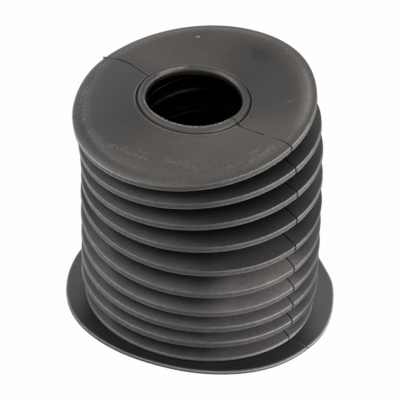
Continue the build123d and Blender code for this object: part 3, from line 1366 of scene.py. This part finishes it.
@dataclass(frozen=True)
class RubberFinish:
    """Moulded black rubber, dulled by handling. Tones are shares of the light given back, and some are
    painted light and shade.
    """

    folds: FoldTones = FoldTones()
    disc: DiscTones = DiscTones()
    flange: FlangeTones = FlangeTones()
    dirt: LineDirtAndShade = LineDirtAndShade()
    # Tone of the mould lines' grime and painted shade.
    dirt_tone: float = 0.0
    disc_heights: tuple[float, float] = (2.8, 3.4)
    flange_frames: tuple[float, float] = (0.5, 0.1)
    patch_size: float = 14.0
    fine_size: float = 1.6
    fine_detail: float = 3.0
    speck_size: float = 0.9
    grain_size: float = 0.7
    grain_detail: float = 2.0
    patch_gain: float = 0.7
    fine_gain: float = 0.7
    grain_gain: float = 0.6
    dust_tone: float = 0.25
    dust_grain: tuple[float, float] = (0.68, 0.76)
    dust_patches: tuple[float, float] = (0.45, 0.65)
    dust_strength: float = 0.7
    warmth: tuple[float, float, float] = (1.06, 1.0, 0.96)
    disc_warmth: tuple[float, float, float] = (1.15, 1.0, 0.89)
    warm_tones: tuple[float, float] = (0.2, 0.08)
    roughness: float = 0.45
    deep_roughness: float = 0.28
    deep_radii: tuple[float, float] = (48.0, 40.0)
    bore_radii: tuple[float, float] = (20.0, 19.7)
    bore_share: float = 0.5
    crease: Ring = Ring(23.1, -0.5, 0.6)
    dull_side: Sector = Sector(180.0, 0.6, 0.9)
    specular: float = 0.5
    grain_height: float = 0.02
    marks: tuple[Mark, ...] = (
        Mark(38.6, 46.0, 2.6, 4.2, 0.0, 2.0),
        Mark(39.2, -3.4, 1.4, 0.3, 0.2, 1.0),
        Mark(41.4, 89.5, 0.5, 0.7, 0.35, 1.5),
        Mark(49.3, -101.0, 0.7, 2.4, 0.35, 1.2),
        Mark(49.6, -107.2, 0.5, 0.9, 0.4, 1.5),
        Mark(46.3, -4.0, 1.7, 8.0, 0.2, 0.8),
        Mark(44.8, -47.0, 1.0, 5.0, 0.2, 0.8),
        Mark(41.5, -52.0, 0.7, 2.5, 0.18, 0.8),
        Mark(38.6, -95.0, 0.7, 6.0, 0.15, 0.8),
        Mark(39.8, -122.0, 0.8, 7.0, 0.15, 0.8),
        Mark(46.6, 172.0, 0.8, 8.0, 0.12, 0.8),
    )

    def tone(self, at: Surface, noises: Noises, sweep: Sweep, on_top: Field) -> Field:
        """Bring the tones of all the parts together, with dust, marks, and the mould lines' grime and painted
        shade over them.

        Args:
            at: The surface.
            noises: The layers of noise.
            sweep: The sweep, for its mould lines.
            on_top: One on the end disc and the collar.

        Returns:
            The tone.
        """
        tone = self.folds.tone(at, noises).toward(self.disc.tone(at, noises), on_top)
        tone = tone.toward(self.flange.tone(at, noises), at.frame.ramp(*self.flange_frames))
        uneven = self.patch_gain * noises.patch + self.fine_gain * noises.fine
        tone = tone * (uneven + self.grain_gain * noises.grain)
        dust = noises.grain.ramp(*self.dust_grain) * noises.patch.ramp(*self.dust_patches)
        tone = tone.toward(self.dust_tone, dust * self.dust_strength)
        for mark in self.marks:
            tone = tone.toward(mark.lay(at, tone, noises), on_top)
        # Mould lines darkened: grime and painted shade.
        return tone.toward(self.dirt_tone, self.dirt.share(at, sweep, on_top))

    def gloss(self, at: Surface, on_top: Field) -> Field:
        """Roughness, lower deep in the folds, in the bore and in the crease round the collar.

        Args:
            at: The surface.
            on_top: One on the end disc and the collar.

        Returns:
            The roughness.
        """
        crease = at.near(self.crease) * (1.0 - at.on(self.dull_side))
        deep_on_top = at.radius.ramp(*self.bore_radii) * self.bore_share + crease
        deep = at.radius.ramp(*self.deep_radii).toward(deep_on_top, on_top)
        return self.roughness + deep * (self.deep_roughness - self.roughness)

    def build(self, sweep: Sweep) -> bpy.types.Material:
        """Make the material from places stored on the mesh.

        Args:
            sweep: The sweep, for its mould lines.

        Returns:
            The material.
        """
        material, make = new_material("moulded_rubber")
        at = Surface(make)
        on_top = at.above(self.disc_heights)
        noises = Noises(
            at.noise(self.patch_size),
            at.noise(self.fine_size, self.fine_detail),
            at.noise(self.speck_size),
            at.noise(self.grain_size, self.grain_detail),
        )
        tone = self.tone(at, noises, sweep, on_top)
        warm_share = on_top * tone.ramp(*self.warm_tones)
        warm = [tone * (low + warm_share * (high - low)) for low, high in zip(self.warmth, self.disc_warmth)]
        colour = make.node("ShaderNodeCombineColor", dict(enumerate(warm)))
        grain = {"Height": noises.grain, "Distance": self.grain_height * MM, "Strength": 1.0}
        shader = make.node(
            "ShaderNodeBsdfPrincipled",
            {
                "Base Color": colour.outputs[0],
                "Roughness": self.gloss(at, on_top),
                "Specular IOR Level": self.specular,
                "Normal": make.node("ShaderNodeBump", grain).outputs[0],
            },
        )
        make.node("ShaderNodeOutputMaterial", {"Surface": shader.outputs[0]})
        return material


@dataclass(frozen=True)
class InsideShadeAndHighlight:
    """The same rubber inside and at the bottom of the disc's mould lines, matt and painted nearly
    black as shade.

    The edges of the inside ridges carry a painted highlight on one side.
    """

    # Painted shade: the inside is nearly black.
    tone: float = 0.002
    # Painted highlight along the edges of the inside ridges.
    edge_tone: float = 0.9
    edge: Ring = Ring(23.2, 4.7, 0.45)
    edge_side: Sector = Sector(165.0, 0.1, 1.0)
    patch_size: float = 6.0
    roughness: float = 0.5
    specular: float = 0.0

    def build(self) -> bpy.types.Material:
        """Make the material.

        Returns:
            The material.
        """
        material, make = new_material("inside_rubber")
        at = Surface(make)
        # Painted highlight on one side of the inside ridges' edges.
        edge = at.near(self.edge) * at.on(self.edge_side) * at.noise(self.patch_size)
        shade = self.tone + edge * (self.edge_tone - self.tone)
        colour = make.node("ShaderNodeCombineColor", {0: shade, 1: shade, 2: shade})
        shader = make.node(
            "ShaderNodeBsdfPrincipled",
            {
                "Base Color": colour.outputs[0],
                "Roughness": self.roughness,
                "Specular IOR Level": self.specular,
            },
        )
        make.node("ShaderNodeOutputMaterial", {"Surface": shader.outputs[0]})
        return material


def new_material(name: str) -> tuple[bpy.types.Material, TreeMaker]:
    """Make a material with an empty tree.

    Args:
        name: Its name.

    Returns:
        The material and its tree's maker.
    """
    material = bpy.data.materials.new(name)
    material.use_nodes = True
    material.node_tree.nodes.clear()
    return material, TreeMaker(material.node_tree)


# ---------------------------------------------------------------------------------------
# What the mould and use left on the shape
# ---------------------------------------------------------------------------------------


def risen(values: np.ndarray, start: float, rise: float) -> np.ndarray:
    """Straight rise from nought at the start to one at the start plus the rise."""
    return np.clip((values - start) / rise, 0.0, 1.0)


@dataclass(frozen=True)
class Moulded:
    """Where each point of the mesh was moulded: its azimuth in degrees and lengths in metres."""

    azimuth: np.ndarray
    radius: np.ndarray
    height: np.ndarray
    frame: np.ndarray

    def above(self, frame_number: int) -> np.ndarray:
        """Which points are on frames above that one."""
        return self.frame > frame_number + 0.5

    def inward(self, sweep: Sweep) -> np.ndarray:
        """The way in from the rims, nought there and one at the reach of the lines' bends."""
        return np.maximum(0.0, sweep.rim_radius - self.radius) / sweep.bend_reach

    def outward(self) -> np.ndarray:
        """Level direction outwards, one row for each point."""
        turn = np.radians(self.azimuth)
        return np.stack((np.cos(turn), np.sin(turn), np.zeros(len(turn))), axis=1)


@dataclass(frozen=True)
class Swell:
    """A stretch of an edge that stands out or in."""

    azimuth: float
    spread: float
    depth: float

    def at(self, azimuth: np.ndarray) -> np.ndarray:
        """How far it stands out at each azimuth."""
        turn = (azimuth - self.azimuth + 180.0) % 360.0 - 180.0
        return self.depth * np.exp(-((turn / self.spread) ** 2))


@dataclass(frozen=True)
class MouldMarks:
    """Marks of the mould and of use, pressed into the points of the mesh.

    They are the grooves of the two mould lines, with a small step beside them, the trimmed nicks
    on the rims, the tab at the end disc's left edge, the torn flash at the bore, the uneven edges
    of the flange and the end disc, and the folds' spread under the weight and sideways shifts.
    The grooves' widths and depths belong to the radii in disc_ways and web_ways, and sways has a
    shift to the right for each frame, in millimetres.
    """

    disc_ways: tuple[float, ...] = (22.0 * MM, 24.5 * MM, 34.0 * MM, 37.0 * MM, 43.0 * MM, 50.0 * MM)
    disc_widths: tuple[float, ...] = (0.2 * MM, 0.4 * MM, 0.35 * MM, 0.2 * MM, 0.2 * MM, 0.28 * MM)
    disc_depths: tuple[float, ...] = (0.2 * MM, 0.9 * MM, 0.8 * MM, 0.35 * MM, 0.5 * MM, 0.8 * MM)
    disc_height: float = 2.6 * MM
    web_ways: tuple[float, ...] = (38.0 * MM, 44.0 * MM)
    web_depths: tuple[float, ...] = (0.1 * MM, 0.45 * MM)
    web_width: float = 0.2 * MM
    rim_radius: float = 49.6 * MM
    flange_radius: float = 57.0 * MM
    nick_width: float = 0.26 * MM
    nick_depth: float = 0.8 * MM
    tab: float = 0.8 * MM
    tab_radius: float = 49.3 * MM
    step: float = 0.12 * MM
    step_reach: float = 5.0 * MM
    step_start: float = 36.0 * MM
    step_rise: float = 10.0 * MM
    flash: float = 0.75 * MM
    flash_rise: float = 0.3 * MM
    flash_slope: float = 1.6
    flash_start: float = 0.2
    lip_radius: float = 20.9 * MM
    lip_height: float = 0.8 * MM
    seed: int = 11
    spread: float = 0.25 * MM
    spread_folds: tuple[int, int] = (2, 6)
    web_start: float = 25.0 * MM
    flange_start: float = 50.0 * MM
    flange_rise: float = 7.6 * MM
    disc_swells: tuple[Swell, ...] = (
        Swell(38.0, 22.0, 1.1 * MM),
        Swell(98.0, 28.0, -0.7 * MM),
        Swell(148.0, 16.0, 0.55 * MM),
    )
    flange_swells: tuple[Swell, ...] = (
        Swell(-148.0, 18.0, 1.0 * MM),
        Swell(-106.0, 14.0, -0.6 * MM),
        Swell(-58.0, 25.0, 1.9 * MM),
        Swell(-26.0, 12.0, 0.6 * MM),
        Swell(14.0, 9.0, 0.8 * MM),
        Swell(36.0, 12.0, 2.3 * MM),
        Swell(172.0, 18.0, -0.8 * MM),
    )
    sways: tuple[float, ...] = (0.0, -0.1, -0.2, -0.3, -0.35, -0.55, -0.6, -0.2, 0.45, 0.9, 0.4, 0.6)
    sway_start: float = 4.6 * MM
    sway_rise: float = 3.0 * MM

    def read(self, mesh: bpy.types.Mesh, name: str, width: int) -> np.ndarray:
        """Read an attribute of the mesh's points.

        Args:
            mesh: The mesh.
            name: The attribute's name.
            width: Numbers in each value.

        Returns:
            One row for each point.
        """
        values = np.empty(len(mesh.vertices) * width, dtype=np.float32)
        mesh.attributes[name].data.foreach_get("vector" if width == 3 else "value", values)
        return values.reshape(-1, width).astype(float)

    def gap(self, at: Moulded, line: float, bend: np.ndarray, sweep: Sweep) -> np.ndarray:
        """Distance of each point round the boot from a mould line.

        Args:
            at: Where the points were moulded.
            line: The line's azimuth at the rims, in degrees.
            bend: How far it bends for each unit of its way inwards, in degrees.
            sweep: The sweep, for the reach of the bend.

        Returns:
            The distances, positive anticlockwise.
        """
        turn = (at.azimuth - line - bend * at.inward(sweep) + 180.0) % 360.0 - 180.0
        return np.radians(turn) * at.radius

    def sunk(self, gap: np.ndarray, at: Moulded) -> np.ndarray:
        """How far each point moves along its normal at one mould line.

        Args:
            gap: Each point's distance from the line.
            at: Where the points were moulded.

        Returns:
            The moves, negative where the point sinks.
        """
        on_top = at.above(FOLD_COUNT) | (at.above(FOLD_COUNT - 1) & (at.height > self.disc_height))
        on_rim = (at.radius > self.rim_radius) & at.above(0)
        on_web = np.interp(at.radius, self.web_ways, self.web_depths)
        on_flange = np.where(at.radius > self.flange_radius, self.nick_depth, 0.0)
        depth = np.where(on_top, np.interp(at.radius, self.disc_ways, self.disc_depths), on_web)
        depth = np.where(on_rim, self.nick_depth, depth)
        depth = np.where(at.above(0), depth, on_flange)
        width = np.where(on_top, np.interp(at.radius, self.disc_ways, self.disc_widths), self.web_width)
        width = np.where(on_rim, self.nick_width, width)
        side = (gap > 0) * np.exp(-np.abs(gap) / self.step_reach) * self.step
        outer = risen(at.radius, self.step_start, self.step_rise) * at.above(0)
        return side * outer - depth * np.exp(-((gap / width) ** 2))

    def grooves(self, at: Moulded, sweep: Sweep) -> np.ndarray:
        """How far each point moves along its normal at both mould lines.

        Args:
            at: Where the points were moulded.
            sweep: The sweep, for its mould lines.

        Returns:
            The moves, negative where the point sinks.
        """
        inward, on_end = at.inward(sweep), at.above(FOLD_COUNT - 1)
        right_bend = sweep.right_bend * inward + sweep.web_bend * ~on_end
        left_bend = (sweep.left_bend * inward + sweep.left_slant) * on_end
        right = self.gap(at, sweep.right_line, right_bend, sweep)
        left = self.gap(at, sweep.left_line, left_bend, sweep)
        tab = self.tab * np.exp(-((left / self.nick_width) ** 2))
        on_end_rim = on_end & (at.radius > self.tab_radius)
        return self.sunk(right, at) + np.where(on_end_rim, tab, self.sunk(left, at))

    def swells(self, at: Moulded) -> np.ndarray:
        """How far each point stands out: the uneven edges, and the folds spread by the weight.

        Args:
            at: Where the points were moulded.

        Returns:
            The moves, positive outwards.
        """
        on_flange = risen(at.radius, self.flange_start, self.flange_rise) * ~at.above(0)
        on_web = risen(at.radius, self.web_start, self.web_start)
        first, last = self.spread_folds
        spread = self.spread * (at.above(first - 1) & ~at.above(last))
        wave = sum(swell.at(at.azimuth) for swell in self.flange_swells) * on_flange
        wave += sum(swell.at(at.azimuth) for swell in self.disc_swells) * on_web * at.above(FOLD_COUNT - 1)
        return wave + spread * on_web

    def apply(self, mesh: bpy.types.Mesh, sweep: Sweep) -> None:
        """Move the mesh's points.

        Args:
            mesh: The swept moulding.
            sweep: The sweep, for its mould lines.
        """
        place = self.read(mesh, "mould_place", 3)
        at = Moulded(np.degrees(np.arctan2(place[:, 1], place[:, 0])), *self.read(mesh, "ring_place", 3).T)
        points = np.empty(len(mesh.vertices) * 3)
        mesh.vertices.foreach_get("co", points)
        points = points.reshape(-1, 3)
        normals = np.empty(len(mesh.vertices) * 3, dtype=np.float32)
        mesh.vertex_normals.foreach_get("vector", normals)
        sink = self.grooves(at, sweep)
        sink[self.read(mesh, "inside", 1)[:, 0] > 0.5] = 0.0
        outward = at.outward()
        points += normals.reshape(-1, 3) * sink[:, None]
        points += outward * self.swells(at)[:, None]
        level = at.frame + risen(at.height, self.sway_start, self.sway_rise) * at.above(0)
        points[:, 0] += np.interp(level, range(len(self.sways)), self.sways) * MM
        chance = np.random.default_rng(self.seed).random(len(points))
        torn = chance * np.clip(-outward[:, 1] * self.flash_slope - self.flash_start, 0.0, 1.0)
        lip = at.above(FOLD_COUNT) & (at.radius < self.lip_radius) & (at.height > self.lip_height)
        points += (np.array((0.0, 0.0, self.flash_rise)) - outward * self.flash) * (torn * lip)[:, None]
        mesh.vertices.foreach_set("co", points.ravel())
        mesh.update()


# ---------------------------------------------------------------------------------------
# The boot
# ---------------------------------------------------------------------------------------


@dataclass
class BellowsBoot:
    """The whole moulding: flange, ten folds, end disc and collar in one piece of rubber."""

    fold: FoldSection = field(default_factory=FoldSection)
    base: BaseSection = field(default_factory=BaseSection)
    collar: CollarSection = field(default_factory=CollarSection)
    posture: Posture = field(default_factory=Posture)
    sweep: Sweep = field(default_factory=Sweep)
    rubber: RubberFinish = field(default_factory=RubberFinish)
    hollow: InsideShadeAndHighlight = field(default_factory=InsideShadeAndHighlight)
    mould_marks: MouldMarks = field(default_factory=MouldMarks)
    copied_fold: int = 2

    def section(self) -> bpy.types.Mesh:
        """Lines of the section, with each station's facts stored on its point.

        Returns:
            A mesh of points and edges: two lines for a middle fold and one for each end.
        """
        lines = [
            (self.fold.outside(self.copied_fold), 1.0),
            (self.fold.inside(self.copied_fold), 1.0),
            (self.base.stations(self.fold), 0.0),
            (self.collar.stations(self.fold, self.posture.fold_count), 0.0),
        ]
        stations = [station for line, _ in lines for station in line]
        edges, start = [], 0
        for line, _ in lines:
            edges += [(start + k, start + k + 1) for k in range(len(line) - 1)]
            start += len(line)
        mesh = bpy.data.meshes.new("section")
        points = [(s.radius, s.side.value * MM, s.frame * self.posture.pitch + s.height) for s in stations]
        mesh.from_pydata(points, edges, [])
        facts = {
            "frame": [s.frame for s in stations],
            "ring_radius": [s.radius for s in stations],
            "ring_height": [s.height for s in stations],
            "next_radius": [s.next_radius for s in stations],
            "next_height": [s.next_height for s in stations],
            "share": [s.share for s in stations],
            "bulge": [s.bulge for s in stations],
            "inside": [s.side.value for s in stations],
            "repeats": [repeat for line, repeat in lines for _ in line],
        }
        for name, values in facts.items():
            mesh.attributes.new(name, "FLOAT", "POINT").data.foreach_set("value", [float(v) for v in values])
        LOG.info("section: %d stations in %d lines", len(stations), len(lines))
        return mesh

    def sweep_round(self) -> bpy.types.Object:
        """Run the geometry tree on the section and keep its result as a plain mesh.

        Returns:
            The piece.
        """
        piece = bpy.data.objects.new(PIECE, self.section())
        bpy.context.scene.collection.objects.link(piece)
        tree = SweepTree(self.posture, self.sweep, self.rubber.build(self.sweep), self.hollow.build())
        modifier = piece.modifiers.new("sweep", "NODES")
        modifier.node_group = tree.tree
        for name, identifier in tree.identifiers.items():
            modifier[identifier] = tree.sizes[name]
        graph = bpy.context.evaluated_depsgraph_get()
        swept = piece.evaluated_get(graph)
        mesh = bpy.data.meshes.new_from_object(swept, preserve_all_data_layers=True, depsgraph=graph)
        piece.modifiers.clear()
        piece.data = mesh
        return piece

    def build(self) -> bpy.types.Object:
        """Make the piece and give it its rubber.

        Returns:
            The finished piece.
        """
        piece = self.sweep_round()
        self.mould_marks.apply(piece.data, self.sweep)
        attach(piece, "root")
        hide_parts(NODE)
        return piece


# ---------------------------------------------------------------------------------------
# Studio
# ---------------------------------------------------------------------------------------


@dataclass(frozen=True)
class Lamp:
    """A square soft lamp that faces the boot."""

    name: str
    azimuth: float
    elevation: float
    power: float
    distance: float = 1.2
    size: float = 0.7

    def build(self, aim: Vector) -> None:
        """Hang the lamp.

        Args:
            aim: The point that it faces.
        """
        data = bpy.data.lights.new(self.name, "AREA")
        data.size = self.size
        data.energy = self.power
        lamp = bpy.data.objects.new(self.name, data)
        a, e = radians(self.azimuth), radians(self.elevation)
        back = Vector((sin(a) * cos(e), -cos(a) * cos(e), sin(e)))
        lamp.location = aim + back * self.distance
        lamp.rotation_mode = "QUATERNION"
        lamp.rotation_quaternion = (-back).to_track_quat("-Z", "Y")
        bpy.context.scene.collection.objects.link(lamp)


@dataclass(frozen=True)
class Studio:
    """Pale floor, plain white world, soft lamps and the camera."""

    floor_size: float = 6.0
    floor_shade: float = 0.8
    floor_glow: float = 0.975
    world_strength: float = 0.03
    elevation: float = 34.0
    roll: float = 5.03
    distance: float = 1.0
    lens: float = 215.0
    sensor: float = 36.0
    nearest: float = 0.05
    farthest: float = 20.0
    aim: tuple[float, float, float] = (-3.24 * MM, 0.0, 46.6 * MM)
    lamps: tuple[Lamp, ...] = (
        Lamp("right_lamp", 90.0, 5.0, 20.0),
        Lamp("front_right_lamp", 60.0, 5.0, 14.0),
        Lamp("left_lamp", -90.0, 30.0, 5.7),
        Lamp("front_left_lamp", -45.0, 45.0, 4.0),
        Lamp("back_right_lamp", 135.0, 12.0, 3.0),
        Lamp("back_left_lamp", -135.0, 3.0, 2.0),
    )

    def seen(self, make: TreeMaker) -> Field:
        """Find the rays that show the background: straight, mirrored or through clear matter.

        Args:
            make: The shader tree's maker.

        Returns:
            One for those rays and nought for the others.
        """
        path = make.node("ShaderNodeLightPath")
        names = ("Is Camera Ray", "Is Glossy Ray", "Is Transmission Ray")
        return sum(Field(make, path.outputs[name]) for name in names).apply("MINIMUM", 1.0)

    def build_world(self) -> None:
        """White background that lights the boot more weakly than it shows."""
        world = bpy.data.worlds.new("studio")
        world.use_nodes = True
        bpy.context.scene.world = world
        world.node_tree.nodes.clear()
        make = TreeMaker(world.node_tree)
        seen = self.seen(make)
        strength = seen + (1.0 - seen) * self.world_strength
        shade = make.node("ShaderNodeBackground", {"Color": WHITE, "Strength": strength})
        make.node("ShaderNodeOutputWorld", {"Surface": shade.outputs[0]})

    def build_floor(self) -> None:
        """Pale floor that keeps a soft shadow."""
        half = self.floor_size / 2
        corners = [(-half, -half, 0), (half, -half, 0), (half, half, 0), (-half, half, 0)]
        mesh = bpy.data.meshes.new("floor")
        mesh.from_pydata(corners, [], [(0, 1, 2, 3)])
        material, make = new_material("pale_floor")
        matt = make.node("ShaderNodeBsdfDiffuse", {"Color": (self.floor_shade,) * 3 + (1.0,)})
        glow = make.node("ShaderNodeEmission", {"Color": WHITE, "Strength": 1.0})
        share = self.seen(make) * self.floor_glow
        mix = make.node("ShaderNodeMixShader", {0: share, 1: matt.outputs[0], 2: glow.outputs[0]})
        make.node("ShaderNodeOutputMaterial", {"Surface": mix.outputs[0]})
        mesh.materials.append(material)
        floor = bpy.data.objects.new("floor", mesh)
        bpy.context.scene.collection.objects.link(floor)

    def build_camera(self) -> None:
        """Long-lens camera, slightly rolled, looking down at the boot."""
        data = bpy.data.cameras.new("camera")
        data.lens = self.lens
        data.sensor_width = self.sensor
        data.clip_start, data.clip_end = self.nearest, self.farthest
        e, roll = radians(self.elevation), radians(self.roll)
        right, up, back = Vector((1, 0, 0)), Vector((0, sin(e), cos(e))), Vector((0, -cos(e), sin(e)))
        turned = right * cos(roll) + up * sin(roll)
        upright = up * cos(roll) - right * sin(roll)
        turn = Matrix((turned, upright, back)).transposed()
        camera = bpy.data.objects.new("camera", data)
        camera.matrix_world = Matrix.LocRotScale(Vector(self.aim) + back * self.distance, turn, None)
        bpy.context.scene.collection.objects.link(camera)
        bpy.context.scene.camera = camera

    def build(self) -> None:
        """Set up everything that isn't the boot."""
        bpy.context.scene.view_settings.view_transform = "Standard"
        self.build_world()
        self.build_floor()
        self.build_camera()
        for lamp in self.lamps:
            lamp.build(Vector(self.aim))


def main() -> None:
    """Build the boot and its studio, and report each piece."""
    logging.basicConfig(level=logging.INFO, format="%(name)s: %(message)s")
    boot = BellowsBoot().build()
    LOG.info("%s: %d faces", boot.name, len(boot.data.polygons))
    Studio().build()


if __name__ == "__main__":
    main()
